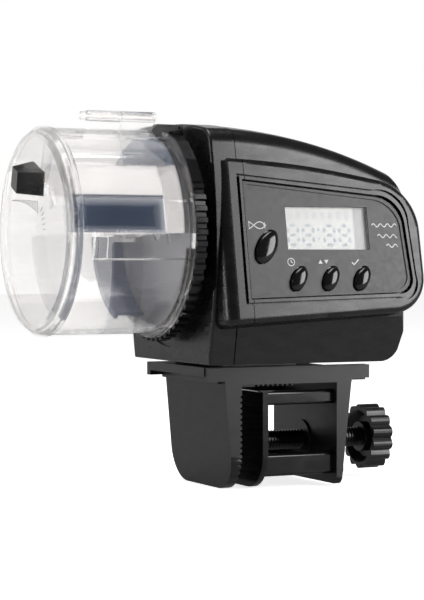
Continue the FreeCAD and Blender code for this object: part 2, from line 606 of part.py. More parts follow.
def battery_contacts():
    plates = []
    for i, (y, z) in enumerate(CELLS):
        nub_first = i == 1
        front_x = CELL_X0 - (0.9 if nub_first else 2.4)
        rear_x = CELL_X1 + (2.4 if nub_first else 1.0)
        front = box(front_x - 0.4, front_x, y - 5, y + 5, z - 5, z + 5)
        rear = box(rear_x, rear_x + 0.4, y - 5, y + 5, z - 5, z + 5)
        coil_x = (CELL_X1 + 0.05, rear_x) if nub_first else (front_x, CELL_X0 - 0.05)
        coil = Part.makeCone(4.2, 3.2, coil_x[1] - coil_x[0], V(coil_x[0], y, z), V(1, 0, 0))
        coil = coil.cut(rod(2.6, coil_x[0] - 1, coil_x[1] + 1, y, z))
        plates += [fuse([front, coil]), rear] if not nub_first else [front, fuse([rear, coil])]
    return group(plates)


def battery_tray():
    """A rib cradle under, between and over the cells, tied by an inner wall."""
    x0 = 64.0
    wall = fuse([box(x0, 98.0, 12.0, 13.2, -16.6, 12.0), box(x0, 85.0, 12.0, 13.2, 11.0, 17.2)])
    ribs = [box(x, x + 1.2, 12.5, 24.0, -15.7, 13.0) for x in (x0, 80.0, 96.8)]
    inner = main_block(WALL, x0 - 1)
    shelves = [box(x0, 98.0, 12.5, 40.0, -16.6, -15.7).common(inner), box(x0, 85.0, 12.5, 25.0, 16.2, 17.2)]
    tray = fuse([wall] + ribs + shelves)
    return biggest(cut(tray, [rod(CELL_R + 0.25, 40, 110, y, z) for y, z in CELLS]))


def ellipse(a, b, at, low, high):
    """An oval prism on the panel: long axis leaning to the right of vertical."""
    lean = math.radians(90.0 - OVAL_LEAN)
    curve = Part.Ellipse(V(at[0] + a * math.cos(lean), at[1] + a * math.sin(lean), low),
                         V(at[0] - b * math.sin(lean), at[1] + b * math.cos(lean), low),
                         V(at[0], at[1], low))
    return Part.Face(Part.Wire(curve.toShape())).extrude(V(0, 0, high - low))


def panel_button(name):
    at, a, b = BUTTONS[name]
    cap = ellipse(a, b, at, PANE_BACK - 0.4, BUTTON_TOP)
    cap = soften(cap, 1.0, lambda e: abs(e.CenterOfMass.z - BUTTON_TOP) < 0.01)
    collar = ellipse(a + 0.6, b + 0.6, at, PANE_BACK - 1.0, PANE_BACK - 0.1)
    stem = Part.makeCylinder(1.6, 2.5, V(at[0], at[1], PANE_BACK - 3.4))
    return on_panel(fuse([cap, collar, stem]))


def panel_membrane():
    sheet = flat(pane_outline(), PANE_BACK, PANE_TOP)
    lip = flat(pane_outline(), PANE_TOP - 0.1, -0.35).cut(flat(pane_outline(0.8), PANE_TOP - 0.3, 0))
    sheet = fuse([sheet, lip])
    x0, x1, v0, v1 = WINDOW
    holes = [Part.makeBox(x1 - x0, v1 - v0, 4, V(x0, v0, -3))]
    holes += [ellipse(a + 0.3, b + 0.3, at, -3, 1) for at, a, b in BUTTONS.values()]
    return on_panel(cut(sheet, holes))


def display_window():
    x0, x1, v0, v1 = WINDOW
    return on_panel(Part.makeBox(x1 - x0, v1 - v0, 0.9, V(x0, v0, -1.75)))


def lcd_module():
    x0, x1, v0, v1 = WINDOW
    glass = Part.makeBox(x1 - x0 - 0.4, v1 - v0 + 2.6, 1.9, V(x0 + 0.2, v0 - 1.5, -3.9))
    return on_panel(glass)


def circuit_board():
    board = Part.makeBox(38.5, 24.0, 1.2, V(55.5, -13.0, BOARD_TOP - 1.2))
    chip = Part.makeBox(9.0, 9.0, 1.4, V(72.0, 0.0, BOARD_TOP - 2.6))
    header = [Part.makeBox(24.0, 1.6, 2.9, V(66.0, v, BOARD_TOP)) for v in (-3.0, 9.4)]
    return on_panel(fuse([board, chip] + header))


def tact_switches():
    out = []
    for at, _, _ in BUTTONS.values():
        body = Part.makeBox(4.2, 4.2, 0.6, V(at[0] - 2.1, at[1] - 2.1, BOARD_TOP))
        out.append(on_panel(body))
    return group(out)


def housing_screws():
    screws = []
    for y, z in SCREW_SPOTS:
        shank = rod(SCREW_SHANK_R, FACE_X + 3.2, SPLIT_X + 5.0, y, z)
        head = rod(SCREW_HEAD_R, SPLIT_X + 3.6, SPLIT_X + 5.4, y, z)
        screws.append(shank.fuse(head))
    return group(screws)


# ---- clamp --------------------------------------------------------------------------------------
def rounded_jaw(x0, x1, y0, y1, top, corner):
    """A slab across X whose two bottom corners are round."""
    k = corner * (1 - math.sqrt(0.5))
    low = JAW_BOTTOM
    parts = [[(y0, top), (y1, top)], [(y1, top), (y1, low + corner)],
             [(y1, low + corner), (y1 - k, low + k), (y1 - corner, low)],
             [(y1 - corner, low), (y0 + corner, low)],
             [(y0 + corner, low), (y0 + k, low + k), (y0, low + corner)], [(y0, low + corner), (y0, top)]]
    return outline(parts, lambda y, z: V(x0, y, z), V(x1 - x0, 0, 0))


def fixed_jaw():
    jaw = rounded_jaw(49.4, JAW_FACE_X, -BEAM_HALF, 19.8, BEAM_LOW + 1.0, 10.0)
    lean = prism_y([(48, -40), (49.8, -40), (52.9, -76), (48, -76)], -30, 30)
    jaw = jaw.cut(lean)
    grooves = []
    for i in range(16):
        z = -47.6 - 1.65 * i
        notch = [(JAW_FACE_X + 0.1, z), (JAW_FACE_X - 0.8, z - 0.5), (JAW_FACE_X + 0.1, z - 1.0)]
        grooves.append(prism_y(notch, -30, 30))
    return jaw.cut(group(grooves))


def clamp_bracket():
    beam = box(BEAM_X0, BEAM_X1, -19.6, 19.6, BEAM_LOW, BEAM_TOP)
    beam = beam.cut(box(BEAM_X0 - 1, 48.8, -30, 30, -50, -42.0))
    rails = [box(BEAM_X0 + 0.3, BEAM_X1, y0, y0 + 2.5, -43.5, BEAM_TOP - 0.1)
             for y0 in (-BEAM_HALF, BEAM_HALF - 2.5)]
    ledge = box(JAW_FACE_X - 1, 92.2, -BEAM_HALF, 20.0, -44.6, -42.0)
    channel = box(50.0, 86.0, -10.9, 10.9, -42.7, -40.9)
    neck = box(50.0, 86.0, -7.0, 7.0, -41.0, BEAM_TOP + 1)
    low_end = box(84.0, BEAM_X1 + 1, -19.5, BEAM_HALF + 1, -42.6, BEAM_TOP + 1)
    seat = box(56.2, 61.8, -18.0, 18.0, -45.5, -44.4)
    ribs = [box(62.6 + 1.6 * i, 63.3 + 1.6 * i, -18.0, 18.0, -45.4, -44.4) for i in range(8)]
    top, bottom = BEAM_LOW + 0.5, -75.0
    plate = prism_y([(PLATE_X0, top), (92.2, top), (88.8, bottom), (PLATE_X0, bottom)], -BEAM_HALF, 18.8)
    plate = plate.common(rounded_plate())
    boss = rod(6.0, PLATE_X0 - 0.6, 91.6, 0, SCREW_Z)
    body = fuse([beam, ledge, fixed_jaw(), plate, boss, seat] + rails + ribs)
    windows = [box(PLATE_X0 - 2, 95, y0 - 0.1, y1 + 0.1, z0 - 0.1, z1 + 0.1)
               for y0, y1, z0, z1 in GUIDES]
    return cut(body, [channel, neck, low_end, rod(SCREW_R + 0.08, 80, 100, 0, SCREW_Z)] + windows)


def rounded_plate():
    parts = [[(-BEAM_HALF, -40), (18.8, -40)], [(18.8, -40), (18.8, -70)],
             [(18.8, -70), (17.3, -73.5), (13.8, -75.0)], [(13.8, -75.0), (-20.0, -75.0)],
             [(-20.0, -75.0), (-21.4, -74.4), (-22.0, -73.0)], [(-22.0, -73.0), (-BEAM_HALF, -40)]]
    return outline(parts, lambda y, z: V(80, y, z), V(20, 0, 0))


def moving_jaw():
    face = rounded_jaw(MOVING_X0, MOVING_X1, -BEAM_HALF, 19.8, -47.0, 10.0)
    bars = [soften(box(MOVING_X1 - 0.4, GUIDE_END, y0, y1, z0, z1), 0.8,
                   lambda e: abs(e.tangentAt(e.FirstParameter).x) > 0.9) for y0, y1, z0, z1 in GUIDES]
    socket = rod(5.6, MOVING_X1 - 0.4, 68.6, 0, SCREW_Z)
    body = fuse([face, socket] + bars)
    room = [rod(SCREW_R + 0.06, 64.6, 70, 0, SCREW_Z), rod(SCREW_R + 1.0, 65.2, 66.8, 0, SCREW_Z)]
    return cut(body, room)


def clamp_screw():
    """The thread's rings stand in for the helix, one per pitch."""
    core = rod(SCREW_R - 0.35, 64.8, 110.8, 0, SCREW_Z)
    collar = rod(SCREW_R + 0.85, 65.3, 66.7, 0, SCREW_Z)
    tail = rod(SCREW_R, 64.8, 70.5, 0, SCREW_Z)
    profile = [(70.4, 2.4)]
    x = 70.4
    while x < 110.0:
        profile += [(x, SCREW_R - 0.35), (x + 0.35, SCREW_R), (x + 0.5, SCREW_R), (x + 0.85, SCREW_R - 0.35)]
        x += SCREW_PITCH
    profile += [(x, SCREW_R - 0.35), (x, 2.4)]
    face = Part.Face(Part.makePolygon([V(px, 0, SCREW_Z + r) for px, r in profile + profile[:1]]))
    thread = face.revolve(V(0, 0, SCREW_Z), V(1, 0, 0), 360)
    return fuse([core, collar, tail, thread])


def clamp_knob():
    points = []
    steps = KNOB_LOBES * 8
    for i in range(steps):
        a = 2 * math.pi * i / steps
        wave = abs(math.cos(KNOB_LOBES * a / 2.0))
        r = KNOB_R - 1.3 * (1 - wave)
        points.append((r * math.sin(a), SCREW_Z + r * math.cos(a)))
    grip = prism_x(points, KNOB_X0, KNOB_X1)
    dish = Part.makeCone(8.2, 6.4, 2.6, V(KNOB_X0, 0, SCREW_Z), V(1, 0, 0))
    dish = dish.cut(rod(4.6, 100, 112, 0, SCREW_Z))
    front = Part.makeCone(6.4, 7.4, 1.2, V(KNOB_X1 - 1.2, 0, SCREW_Z), V(1, 0, 0))
    return cut(grip, [dish, front, rod(SCREW_R, 100, 110.8, 0, SCREW_Z)])


# ---- write the nodes ----------------------------------------------------------------------------
def main():
    os.makedirs("parts", exist_ok=True)
    for make in (drum_shell, refill_door, hinge_pin, drum_end_cap, shutter_arm, portion_shutter,
                 portion_knob, drum_base_ring, chamber_divider, dosing_wall, drum_catch, catch_pin,
                 drive_spindle, spindle_bush, gear_motor, gearbox_plates, idler_axle, position_switch,
                 main_housing, slide_shoe, battery_cover, battery_cells, battery_contacts, battery_tray,
                 panel_membrane, display_window, lcd_module, circuit_board, tact_switches, housing_screws,
                 clamp_bracket, moving_jaw, clamp_screw, clamp_knob):
        save(make.__name__, make())
    spindle_gear, idler_gear, motor_pinion = drive_train()
    save("spindle_gear", spindle_gear)
    save("idler_gear", idler_gear)
    save("motor_pinion", motor_pinion)
    bar, bezel = frame_parts()
    save("front_housing", front_housing(bar))
    save("panel_bezel", bezel)
    for name in BUTTONS:
        save(name, panel_button(name))


main()
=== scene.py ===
import json
import math

import bmesh
import bpy
from mathutils import Matrix, Vector


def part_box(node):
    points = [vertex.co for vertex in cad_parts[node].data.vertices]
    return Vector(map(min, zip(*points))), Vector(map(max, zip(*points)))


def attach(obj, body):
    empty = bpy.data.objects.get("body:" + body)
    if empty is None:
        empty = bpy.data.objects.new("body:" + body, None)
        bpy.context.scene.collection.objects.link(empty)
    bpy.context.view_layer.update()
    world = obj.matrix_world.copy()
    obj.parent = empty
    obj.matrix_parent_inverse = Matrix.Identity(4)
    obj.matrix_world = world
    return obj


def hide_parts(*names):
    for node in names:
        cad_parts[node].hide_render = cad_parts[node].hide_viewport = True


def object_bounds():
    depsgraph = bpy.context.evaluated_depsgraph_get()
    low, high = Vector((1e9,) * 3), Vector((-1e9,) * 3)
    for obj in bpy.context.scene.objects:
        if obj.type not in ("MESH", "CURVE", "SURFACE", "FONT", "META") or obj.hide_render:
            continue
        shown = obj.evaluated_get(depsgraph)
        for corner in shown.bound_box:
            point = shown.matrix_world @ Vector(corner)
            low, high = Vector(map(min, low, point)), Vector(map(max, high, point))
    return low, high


# Looks of the automatic fish feeder. Everything is in metres in the part's frame: X along the drum axis
# towards the clamp knob, -Y the side with the control panel, Z up, origin on the rim seat.

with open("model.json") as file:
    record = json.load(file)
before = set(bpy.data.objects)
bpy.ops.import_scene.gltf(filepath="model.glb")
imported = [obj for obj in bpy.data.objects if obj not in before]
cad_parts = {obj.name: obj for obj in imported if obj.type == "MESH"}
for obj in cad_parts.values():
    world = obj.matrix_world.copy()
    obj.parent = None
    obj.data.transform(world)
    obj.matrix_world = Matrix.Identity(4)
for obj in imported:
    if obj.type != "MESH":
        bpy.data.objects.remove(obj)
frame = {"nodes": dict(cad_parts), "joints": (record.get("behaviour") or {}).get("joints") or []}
CAD_LOW, CAD_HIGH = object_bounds()
MM = 0.001


# ---- places read from the frame -----------------------------------------------------------------
def joint(name):
    return next(j for j in frame["joints"] if j["name"] == name)


DRUM_AXIS = Vector(joint("drum_spin")["pos_m"])
CAP_RIM = 2.8 * MM                # how far the front cap stands out in front of the shell
DRUM_AXIS.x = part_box("drum_shell")[0].x - CAP_RIM      # the plane of the drum's front
PANEL_OUT = -Vector(joint("feed_button_press")["axis"]).normalized()
PANEL_UP = PANEL_OUT.cross(Vector((1, 0, 0))).normalized()
SCREW_AXIS = Vector(joint("clamp_screw_spin")["pos_m"])


def centre(node):
    low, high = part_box(node)
    return (low + high) / 2


WINDOW_LOW, WINDOW_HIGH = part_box("display_window")
PANEL_ORIGIN = centre("display_window")
PANEL = Matrix((
    (1, PANEL_UP.x, PANEL_OUT.x, PANEL_ORIGIN.x),
    (0, PANEL_UP.y, PANEL_OUT.y, PANEL_ORIGIN.y),
    (0, PANEL_UP.z, PANEL_OUT.z, PANEL_ORIGIN.z),
    (0, 0, 0, 1)))
TO_PANEL = PANEL.inverted()


def panel_place(node):
    """Where a node's middle is on the panel: right, up and out, in metres."""
    return TO_PANEL @ centre(node)


# ---- node helpers -------------------------------------------------------------------------------
def node_math(tree, kind, first, second):
    """A Math node; each input is a number or a socket."""
    made = tree.nodes.new("ShaderNodeMath")
    made.operation = kind
    for at, value in enumerate((first, second)):
        if isinstance(value, (int, float)):
            made.inputs[at].default_value = value
        else:
            tree.links.new(value, made.inputs[at])
    return made.outputs[0]


def map_range(tree, source, low, high, start, end, kind="LINEAR"):
    """Map start to end of the source onto low to high."""
    made = tree.nodes.new("ShaderNodeMapRange")
    made.interpolation_type = kind
    for key, value in (("From Min", start), ("From Max", end), ("To Min", low), ("To Max", high)):
        made.inputs[key].default_value = value
    tree.links.new(source, made.inputs["Value"])
    return made.outputs[0]


# ---- camera, floor and light --------------------------------------------------------------------
CAMERA_AZIMUTH, CAMERA_ELEVATION = math.radians(-25.63), math.radians(1.21)
CAMERA_DISTANCE = 0.6038
CAMERA_TARGET = Vector((-0.00255, 0.0, 0.02522))
SENSOR, LENS = 36.0, 120.54
OVAL_LEAN = 33.0                  # degrees from upright
OVALS = {"feed_button": (5.4, 2.9), "mode_button": (3.95, 2.25), "adjust_button": (3.95, 2.25),
         "set_button": (3.95, 2.25)}      # half length and half width, mm
KEY_PROUD, KEY_DOME = 0.9, 1.5    # height of a key's straight edge over the pane, and of its dome, mm
PRINT_LOW, PRINT_HIGH, PRINT_LINE = 0.60 * MM, 0.635 * MM, 0.26 * MM
THREAD_PITCH, THREAD_TURNS, THREAD_STEPS = 1.0, 37, 24
THREAD_ROOT, THREAD_CREST = 2.62, 2.98      # radii, mm
THREAD_START = 11.2 * MM
FLOOR_DISC = 38.2 * MM            # from the drum's front face to the disc that closes it
DISC_RADIUS = 27.7 * MM
SHUTTER_EDGE = 9.6 * MM           # over the drum's axis, where the shutter turns from slate to pale
SLATE_BAND = (-10.8 * MM, 18.0 * MM, 18.4 * MM, 20.6 * MM)      # across from and to, up from and to
FLOOR_HALF = 3.0
FLOOR_GLOW, FLOOR_FILL = 0.80, 0.16         # emission for what the eye sees, and for the rest
FLOOR_SEEN_TONE, FLOOR_FILL_TONE = 0.90, 0.25
GLINT = 0.12                      # share of the bright room in reflections inside clear parts
ROOM_DIM = 0.07


def make_camera():
    data = bpy.data.cameras.new("camera")
    data.lens, data.sensor_width, data.sensor_fit = LENS, SENSOR, "AUTO"
    data.clip_start, data.clip_end = 0.01, 20.0
    camera = bpy.data.objects.new("camera", data)
    bpy.context.scene.collection.objects.link(camera)
    a, e = CAMERA_AZIMUTH, CAMERA_ELEVATION
    back = Vector((math.sin(a) * math.cos(e), -math.cos(a) * math.cos(e), math.sin(e)))
    camera.location = CAMERA_TARGET + back * CAMERA_DISTANCE
    camera.rotation_euler = back.to_track_quat("Z", "Y").to_euler()
    bpy.context.scene.camera = camera


def make_floor():
    mesh = bpy.data.meshes.new("floor")
    corners = [(-1, -1), (1, -1), (1, 1), (-1, 1)]
    mesh.from_pydata([(x * FLOOR_HALF, y * FLOOR_HALF, 0) for x, y in corners], [], [(0, 1, 2, 3)])
    floor = bpy.data.objects.new("floor", mesh)
    bpy.context.scene.collection.objects.link(floor)
    floor.location.z = CAD_LOW.z - 0.2 * MM
    mesh.materials.append(floor_material())


def floor_material():
    """Pale floor: it looks evenly bright, and sends only a little light up under the object."""
    mat = bpy.data.materials.new("floor")
    mat.use_nodes = True
    tree = mat.node_tree
    shader = tree.nodes["Principled BSDF"]
    shader.inputs["Roughness"].default_value = 0.8
    shader.inputs["Specular IOR Level"].default_value = 0.0
    shader.inputs["Emission Color"].default_value = (1, 1, 1, 1)
    seen = map_range(tree, eye_rays(tree), FLOOR_FILL, FLOOR_GLOW, 0.0, 1.0)
    tone = map_range(tree, eye_rays(tree), FLOOR_FILL_TONE, FLOOR_SEEN_TONE, 0.0, 1.0)
    tree.links.new(seen, shader.inputs["Emission Strength"])
    tree.links.new(tone, shader.inputs["Base Color"])
    return mat


def eye_rays(tree):
    """1 for what the eye sees, straight or through clear parts; less for other light inside them; else 0."""
    path = tree.nodes.new("ShaderNodeLightPath")
    passed = node_math(tree, "GREATER_THAN", path.outputs["Transmission Depth"], 0.5)
    straight = node_math(tree, "MAXIMUM", path.outputs["Is Camera Ray"], path.outputs["Is Transmission Ray"])
    return node_math(tree, "MAXIMUM", straight, node_math(tree, "MULTIPLY", passed, GLINT))


def soft_box(name, place, target, width, height, power, colour=(1, 1, 1)):
    data = bpy.data.lights.new(name, "AREA")
    data.shape, data.size, data.size_y = "RECTANGLE", width, height
    data.energy, data.color = power, colour
    light = bpy.data.objects.new(name, data)
    light.location = place
    aim = Vector(target) - Vector(place)
    light.rotation_euler = aim.to_track_quat("-Z", "Y").to_euler()
    bpy.context.scene.collection.objects.link(light)


def make_lights():
    """A big box to the right of the camera, one over the object and a small one on the left."""
    middle = (0.0, 0.0, 0.03)
    soft_box("right_light", (0.46, -0.52, 0.22), middle, 0.36, 0.50, 4.6)
    soft_box("top_light", (-0.05, 0.05, 0.80), middle, 0.55, 0.45, 4.0)
    soft_box("left_light", (-0.85, 0.10, 0.25), middle, 0.25, 0.6, 2.2)


def make_world():
    """A studio with a white wall behind the object and little light in front of it."""
    world = bpy.data.worlds.new("world")
    world.use_nodes = True
    bpy.context.scene.world = world
    tree = world.node_tree
    tree.nodes.clear()
    out = tree.nodes.new("ShaderNodeOutputWorld")
    shade = tree.nodes.new("ShaderNodeBackground")
    shade.inputs["Color"].default_value = (1, 1, 1, 1)
    place = tree.nodes.new("ShaderNodeTexCoord")
    split = tree.nodes.new("ShaderNodeSeparateXYZ")
    tree.links.new(place.outputs["Generated"], split.inputs[0])

    back = map_range(tree, split.outputs["Y"], 0.0, 1.0, -0.10, 0.45, "SMOOTHSTEP")
    under = map_range(tree, split.outputs["Z"], 1.0, 0.0, 0.18, 0.62, "SMOOTHSTEP")
    wall = node_math(tree, "MAXIMUM", node_math(tree, "MULTIPLY", back, under), ROOM_DIM)
    tree.links.new(node_math(tree, "MAXIMUM", wall, eye_rays(tree)), shade.inputs["Strength"])
    tree.links.new(shade.outputs[0], out.inputs[0])


def set_up_view():
    scene = bpy.context.scene
    scene.view_settings.view_transform = "Standard"
    for limit in ("max_bounces", "transmission_bounces", "transparent_max_bounces"):
        setattr(scene.cycles, limit, 24)


# ---- material kit -------------------------------------------------------------------------------
class Recipe:
    """A Principled material under construction, with its textures in the part's own coordinates."""

    def __init__(self, name, colour, roughness, **sockets):
        self.mat = bpy.data.materials.new(name)
        self.mat.use_nodes = True
        self.tree = self.mat.node_tree
        self.shader = self.tree.nodes["Principled BSDF"]
        self.shader.inputs["Base Color"].default_value = (*colour, 1)
        self.shader.inputs["Roughness"].default_value = roughness
        for key, value in sockets.items():
            self.shader.inputs[key.replace("_", " ")].default_value = value
        self.place = self.node("ShaderNodeTexCoord").outputs["Object"]

    def node(self, kind, **fields):
        made = self.tree.nodes.new(kind)
        for key, value in fields.items():
            setattr(made, key, value)
        return made

    def link(self, source, target):
        self.tree.links.new(source, target)

    def noise(self, scale, detail=2.0, stretch=(1, 1, 1)):
        moved = self.node("ShaderNodeMapping")
        moved.inputs["Scale"].default_value = stretch
        self.link(self.place, moved.inputs["Vector"])
        texture = self.node("ShaderNodeTexNoise")
        texture.inputs["Scale"].default_value = scale
        texture.inputs["Detail"].default_value = detail
        self.link(moved.outputs[0], texture.inputs["Vector"])
        return texture.outputs["Fac"]

    def spread(self, source, low, high, start=0.3, end=0.7):
        """Map a texture's value range onto low to high."""
        return map_range(self.tree, source, low, high, start, end)

    def blend(self, share, first, second):
        """A colour between two colours or sockets."""
        made = self.node("ShaderNodeMix", data_type="RGBA")
        self.link(share, made.inputs[0])
        for at, value in ((6, first), (7, second)):
            if isinstance(value, tuple):
                made.inputs[at].default_value = (*value, 1)
            else:
                self.link(value, made.inputs[at])
        return made.outputs[2]

    def math(self, kind, first, second=0):
        return node_math(self.tree, kind, first, second)

    def axis(self, index):
        """One coordinate of the point, in metres in the part's frame at rest."""
        split = self.node("ShaderNodeSeparateXYZ")
        self.link(self.place, split.inputs[0])
        return split.outputs[index]

    def height(self):
        """Height over the drum's axis."""
        return self.math("SUBTRACT", self.axis(2), DRUM_AXIS.z)

    def colour(self, socket):
        self.link(socket, self.shader.inputs["Base Color"])

    def roughness(self, socket):
        self.link(socket, self.shader.inputs["Roughness"])

    def bump(self, height, distance, strength=1.0):
        made = self.node("ShaderNodeBump")
        made.inputs["Distance"].default_value = distance
        made.inputs["Strength"].default_value = strength
        self.link(height, made.inputs["Height"])
        self.link(made.outputs[0], self.shader.inputs["Normal"])

    def lets_lamps_through(self, tint):
        """Light from lamps passes the piece, tinted, so that what is behind it isn't in its shadow."""
        path = self.node("ShaderNodeLightPath")
        clear = self.node("ShaderNodeBsdfTransparent")
        clear.inputs["Color"].default_value = (*tint, 1)
        mix = self.node("ShaderNodeMixShader")
        out = self.tree.nodes["Material Output"]
        self.link(path.outputs["Is Shadow Ray"], mix.inputs[0])
        self.link(self.shader.outputs[0], mix.inputs[1])
        self.link(clear.outputs[0], mix.inputs[2])
        self.link(mix.outputs[0], out.inputs["Surface"])


# ---- materials ----------------------------------------------------------------------------------
def satin_black(name="satin_black", tone=0.0065, rough=0.27, grain=1.0):
    """Moulded black plastic: spark-eroded grain, faint flow streaks and handling marks."""
    r = Recipe(name, (tone, tone, tone * 1.04), rough, IOR=1.5)
    r.colour(r.blend(r.noise(60, 3), (tone * 0.8,) * 3, (tone * 1.3, tone * 1.3, tone * 1.36)))
    r.roughness(r.math("ADD", r.spread(r.noise(140, 4, (1, 1, 2.5)), -0.05, 0.06), rough))
    r.bump(r.noise(3800, 2), 0.00001, 0.2 * grain)
    return r.mat


def gloss_black(name="gloss_black", rough=0.09):
    """Polished black plastic with hairline scratches and a trace of dust."""
    r = Recipe(name, (0.008, 0.008, 0.009), rough, IOR=1.52)
    r.roughness(r.spread(r.noise(900, 2, (1, 9, 1)), rough * 0.7, rough * 1.9))
    r.bump(r.noise(260, 2), 0.00002, 0.08)
    return r.mat


def clear_styrene():
    """Very clear moulded plastic, a little warm, with painted shade: its colour turns dark grey along its
    outlines where one looks along the wall.
    """
    r = Recipe("clear_styrene", (0.965, 0.945, 0.935), 0.012, IOR=1.36, Transmission_Weight=1.0, Alpha=0.66,
               Specular_IOR_Level=0.3)
    # Painted shade: where the surface is seen edge-on its base colour darkens, standing in for the dark
    # outlines that refraction gives clear walls.
    edge = r.node("ShaderNodeLayerWeight")
    edge.inputs["Blend"].default_value = 0.5
    rim = r.spread(edge.outputs["Facing"], 0.0, 1.0, 0.80, 0.98)
    r.colour(r.blend(rim, (0.985, 0.968, 0.955), (0.38, 0.40, 0.46)))
    r.bump(r.noise(110, 2, (0.4, 1, 1)), 0.00004, 0.03)
    r.lets_lamps_through((0.95, 0.945, 0.94))
    return r.mat


def frosted_mark():
    """Raised marks in clear plastic, matt on top."""
    r = Recipe("frosted_mark", (0.62, 0.61, 0.61), 0.5, Transmission_Weight=0.35)
    r.bump(r.noise(2500, 2), 0.00001, 0.4)
    r.lets_lamps_through((0.8, 0.8, 0.8))
    return r.mat


def tinted(name, colour, shade, rough=0.05, clearness=0.75):
    """Smoke or milky plastic that still lets some light through."""
    r = Recipe(name, colour, rough, IOR=1.42, Transmission_Weight=clearness)
    r.roughness(r.spread(r.noise(700, 2), rough * 0.7, rough * 1.5))
    r.bump(r.noise(150, 2), 0.00004, 0.04)
    r.lets_lamps_through(shade)
    return r.mat


def shutter_smoke():
    """The shutter: a slate band, paler in a row near its top, near its bottom and towards its right end, with
    a dark line along its top edge and pale streaks above it.
    """
    r = Recipe("shutter_smoke", (0.10, 0.125, 0.19), 0.08, IOR=1.38, Transmission_Weight=0.5,
               Specular_IOR_Level=0.25)
    height = r.height()
    up = r.spread(height, 0.0, 1.0, SHUTTER_EDGE, SHUTTER_EDGE + 0.3 * MM)
    off = r.math("ABSOLUTE", r.math("SUBTRACT", height, SHUTTER_EDGE))
    line = r.spread(off, 1.0, 0.0, 0.15 * MM, 0.5 * MM)
    # The slate band is paler in a row near its top and near its bottom, and towards its right end.
    paler_rows = r.math("MAXIMUM", r.spread(height, 0.0, 0.8, 6.6 * MM, 8.6 * MM),
                  r.spread(height, 0.45, 0.0, 0.2 * MM, 1.6 * MM))
    right = r.spread(r.axis(0), 0.0, 0.5, DRUM_AXIS.x + 24.5 * MM, DRUM_AXIS.x + 27.5 * MM)
    dense = r.blend(r.noise(200, 3, (0.2, 1, 1)), (0.060, 0.080, 0.122), (0.078, 0.098, 0.142))
    band = r.blend(r.math("MAXIMUM", paler_rows, right), dense, (0.40, 0.41, 0.44))
    streaks = r.blend(r.noise(300, 3, (0.15, 1, 1)), (0.60, 0.585, 0.58), (0.72, 0.71, 0.705))
    r.colour(r.blend(line, r.blend(up, band, streaks), (0.05, 0.065, 0.10)))
    r.roughness(r.spread(r.noise(700, 2), 0.05, 0.12))
    r.bump(r.noise(150, 2), 0.00004, 0.04)
    r.lets_lamps_through((0.5, 0.52, 0.58))
    return r.mat


def wall_smoke():
    """The dosing wall: slate smoke, with painted shade darkening it towards the ring."""
    r = Recipe("wall_smoke", (0.11, 0.13, 0.185), 0.12, IOR=1.38, Transmission_Weight=0.2,
               Specular_IOR_Level=0.15)
    # Painted shade: the colour darkens from 33.2 to 34.2 mm behind the drum's front, where the wall meets the
    # ring.
    ring_shade = r.spread(r.axis(0), 0.0, 1.0, DRUM_AXIS.x + 33.2 * MM, DRUM_AXIS.x + 34.2 * MM)
    cloud = r.blend(r.noise(120, 3), (0.125, 0.140, 0.195), (0.145, 0.160, 0.215))
    r.colour(r.blend(ring_shade, cloud, (0.065, 0.078, 0.125)))
    r.roughness(r.spread(r.noise(700, 2), 0.06, 0.14))
    r.bump(r.noise(150, 2), 0.00004, 0.04)
    r.lets_lamps_through((0.4, 0.43, 0.5))
    return r.mat


def base_ring_black():
    """Black ring whose inner disc, the drum's floor, is a duller dark grey."""
    r = Recipe("base_ring_black", (0.008, 0.008, 0.009), 0.2, IOR=1.5, Specular_IOR_Level=0.4)
    across, up = r.axis(1), r.height()
    radius = r.math("POWER", r.math("ADD", r.math("POWER", across, 2), r.math("POWER", up, 2)), 0.5)
    inside = r.spread(radius, 1.0, 0.0, DISC_RADIUS, DISC_RADIUS + 0.25 * MM)
    plane = DRUM_AXIS.x + FLOOR_DISC
    front = r.spread(r.axis(0), 1.0, 0.0, plane + 0.1 * MM, plane + 0.3 * MM)
    disc = r.blend(r.noise(60, 2), (0.115, 0.116, 0.126), (0.130, 0.131, 0.142))
    rim = r.blend(r.noise(60, 3), (0.006, 0.006, 0.007), (0.010, 0.010, 0.011))
    r.colour(r.blend(r.math("MULTIPLY", inside, front), rim, disc))
    r.roughness(r.spread(r.noise(400, 3), 0.15, 0.24))
    r.bump(r.noise(3800, 2), 0.00001, 0.2)
    return r.mat


def divider_milk():
    """Half disc across the drum: slate blue above the shutter, pale and milky beside it."""
    r = Recipe("divider_milk", (0.6, 0.6, 0.6), 0.14, IOR=1.38, Transmission_Weight=0.45,
               Specular_IOR_Level=0.2)
    height = r.height()
    fade = r.spread(height, 0.0, 1.0, 19.5 * MM, 27.5 * MM)
    slate = r.blend(fade, (0.13, 0.165, 0.235), (0.34, 0.37, 0.43))
    milk = r.blend(r.noise(90, 3, (1, 1, 0.3)), (0.66, 0.65, 0.645), (0.74, 0.73, 0.725))
    r.colour(r.blend(r.spread(height, 0.0, 1.0, 18.3 * MM, 18.6 * MM), milk, slate))
    r.roughness(r.spread(r.noise(500, 2), 0.10, 0.2))
    r.bump(r.noise(150, 2), 0.00004, 0.04)
    r.lets_lamps_through((0.75, 0.77, 0.8))
    return r.mat


def membrane():
    """Printed overlay of the control panel: a fine matt coat over dark grey."""
    r = Recipe("membrane", (0.065, 0.062, 0.063), 0.42, IOR=1.45)
    r.colour(r.blend(r.noise(40, 2), (0.058, 0.055, 0.057), (0.069, 0.066, 0.068)))
    r.roughness(r.spread(r.noise(700, 3), 0.36, 0.48))
    r.bump(r.noise(5200, 1), 0.000006, 0.3)
    return r.mat


def print_white():
    """White ink, a little uneven."""
    r = Recipe("print_white", (0.82, 0.82, 0.80), 0.5)
    r.colour(r.blend(r.noise(2500, 2), (0.70, 0.70, 0.69), (0.88, 0.88, 0.86)))
    return r.mat


